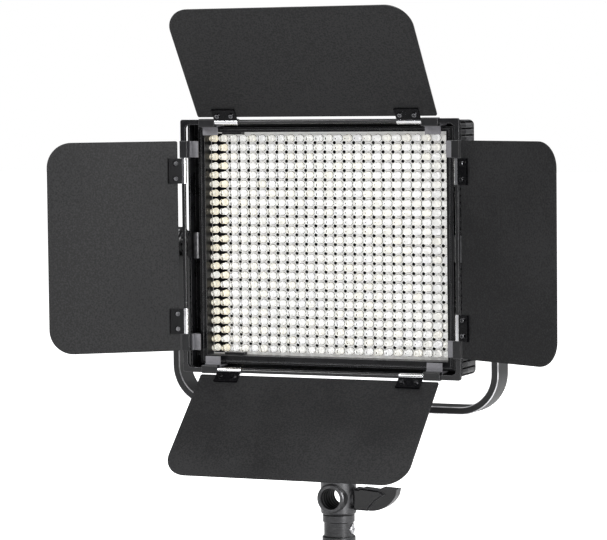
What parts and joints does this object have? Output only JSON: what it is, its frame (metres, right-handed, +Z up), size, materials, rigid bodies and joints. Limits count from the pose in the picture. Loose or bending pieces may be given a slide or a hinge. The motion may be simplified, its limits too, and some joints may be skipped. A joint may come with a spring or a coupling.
{
  "type": "led panel light",
  "caption": "Square LED panel light with four hinged barn doors, tilting in a U yoke on a stand adapter with a locking wing lever.",
  "frame": {"origin": "centre of the mouth of the stand socket", "axes": "+Z up along the stand socket, -Y the way the light shines with the panel upright, +X to the right as seen by someone facing the lamps"},
  "size_m": [0.402, 0.132, 0.4158],
  "materials": {
    "cast_grey": "satin bead-blasted",
    "bright_steel": "polished",
    "yoke_paint": "satin powder coat",
    "lever_black": "fine texture",
    "housing_black": "fine satin",
    "board_white": "solder mask",
    "lamp_clear": "clear resin",
    "trim_black": "satin",
    "screw_steel": "blackened",
    "board_green": "solder mask",
    "display_clear": "smoked",
    "contact_brass": "bright",
    "rod_black": "satin",
    "tab_grey": "matt",
    "leaf_paint": "fine powder coat",
    "hinge_black": "satin",
    "hinge_chrome": "polished"
  },
  "bodies": {
    "stand_adapter": {"socket_sleeve": "cast_grey", "neck_screw": "bright_steel", "lock_ring": "cast_grey", "adapter_head": "cast_grey", "upper_stem": "cast_grey", "yoke_nut": "bright_steel", "yoke_washers": "bright_steel", "yoke_bolt": "bright_steel", "yoke": "yoke_paint"},
    "clamp": {"clamp_screw": "bright_steel", "clamp_lever": "lever_black"},
    "panel": {"main_shell": "housing_black", "front_bezel": "housing_black", "bezel_screws": "screw_steel", "lamp_board": "board_white", "lamp_beads": "lamp_clear", "board_clips": "trim_black", "side_clips": "bright_steel", "back_cover": "housing_black", "case_screws": "screw_steel", "driver_board": "board_green", "board_standoffs": "screw_steel", "display_module": "board_green", "display_window": "display_clear", "dial_pots": "board_green", "switch_body": "trim_black", "power_socket": "trim_black", "battery_plates": "trim_black", "battery_contacts": "contact_brass", "pivot_blocks": "housing_black", "friction_washers": "trim_black", "door_rods": "rod_black", "corner_links": "rod_black", "rod_sleeves": "trim_black", "corner_tabs": "tab_grey"},
    "tilt_lock_left": {"tilt_bolt_left": "bright_steel", "tilt_knob_left": "lever_black"},
    "tilt_lock_right": {"tilt_bolt_right": "bright_steel", "tilt_knob_right": "lever_black"},
    "brightness": {"brightness_dial": "trim_black"},
    "colour": {"colour_dial": "trim_black"},
    "rocker": {"rocker_switch": "trim_black"},
    "latch_left": {"battery_latch_left": "trim_black"},
    "latch_right": {"battery_latch_right": "trim_black"},
    "door_top": {"top_leaf": "leaf_paint", "top_hinge_barrels": "hinge_chrome", "top_hinge_plates": "hinge_black", "top_hinge_screws": "hinge_chrome"},
    "door_bottom": {"bottom_leaf": "leaf_paint", "bottom_hinge_barrels": "hinge_chrome", "bottom_hinge_plates": "hinge_black", "bottom_hinge_screws": "hinge_chrome"},
    "door_left": {"left_leaf": "leaf_paint", "left_hinge_barrels": "hinge_chrome", "left_hinge_plates": "hinge_black", "left_hinge_screws": "hinge_chrome"},
    "door_right": {"right_leaf": "leaf_paint", "right_hinge_barrels": "hinge_chrome", "right_hinge_plates": "hinge_black", "right_hinge_screws": "hinge_chrome"}
  },
  "joints": [
    {"name": "tilt", "type": "hinge", "parent": "stand_adapter", "child": "panel", "pos_m": [0, 0, 0.236], "axis": [-1, 0, 0], "range_deg": [-12, 90]},
    {"name": "clamp_turn", "type": "hinge", "parent": "stand_adapter", "child": "clamp", "pos_m": [0.02, 0, 0.0428], "axis": [1, 0, 0], "range_deg": [-45, 315]},
    {"name": "tilt_lock_turn_left", "type": "hinge", "parent": "panel", "child": "tilt_lock_left", "pos_m": [-0.135, 0, 0.236], "axis": [-1, 0, 0], "range_deg": [-20, 180]},
    {"name": "tilt_lock_turn_right", "type": "hinge", "parent": "panel", "child": "tilt_lock_right", "pos_m": [0.135, 0, 0.236], "axis": [1, 0, 0], "range_deg": [-20, 180]},
    {"name": "door_top_hinge", "type": "hinge", "parent": "panel", "child": "door_top", "pos_m": [0, -0.0335, 0.3312], "axis": [1, 0, 0], "range_deg": [-35, 120]},
    {"name": "door_bottom_hinge", "type": "hinge", "parent": "panel", "child": "door_bottom", "pos_m": [0, -0.0335, 0.1408], "axis": [-1, 0, 0], "range_deg": [-26, 109]},
    {"name": "door_left_hinge", "type": "hinge", "parent": "panel", "child": "door_left", "pos_m": [-0.1123, -0.0335, 0.236], "axis": [0, 0, 1], "range_deg": [-39, 139]},
    {"name": "door_right_hinge", "type": "hinge", "parent": "panel", "child": "door_right", "pos_m": [0.1123, -0.0335, 0.236], "axis": [0, 0, -1], "range_deg": [-28, 150]},
    {"name": "brightness_turn", "type": "hinge", "parent": "panel", "child": "brightness", "pos_m": [-0.05, 0.014, 0.284], "axis": [0, -1, 0], "range_deg": [0, 270]},
    {"name": "colour_turn", "type": "hinge", "parent": "panel", "child": "colour", "pos_m": [0.05, 0.014, 0.284], "axis": [0, -1, 0], "range_deg": [0, 270]},
    {"name": "rocker_press", "type": "hinge", "parent": "panel", "child": "rocker", "pos_m": [-0.024, 0.013, 0.258], "axis": [1, 0, 0], "range_deg": [-6, 6]},
    {"name": "latch_press_left", "type": "slide", "parent": "panel", "child": "latch_left", "axis": [0, 0, -1], "range_m": [0, 0.003], "stiffness_N_per_m": 300},
    {"name": "latch_press_right", "type": "slide", "parent": "panel", "child": "latch_right", "axis": [0, 0, -1], "range_m": [0, 0.003], "stiffness_N_per_m": 300}
  ]
}
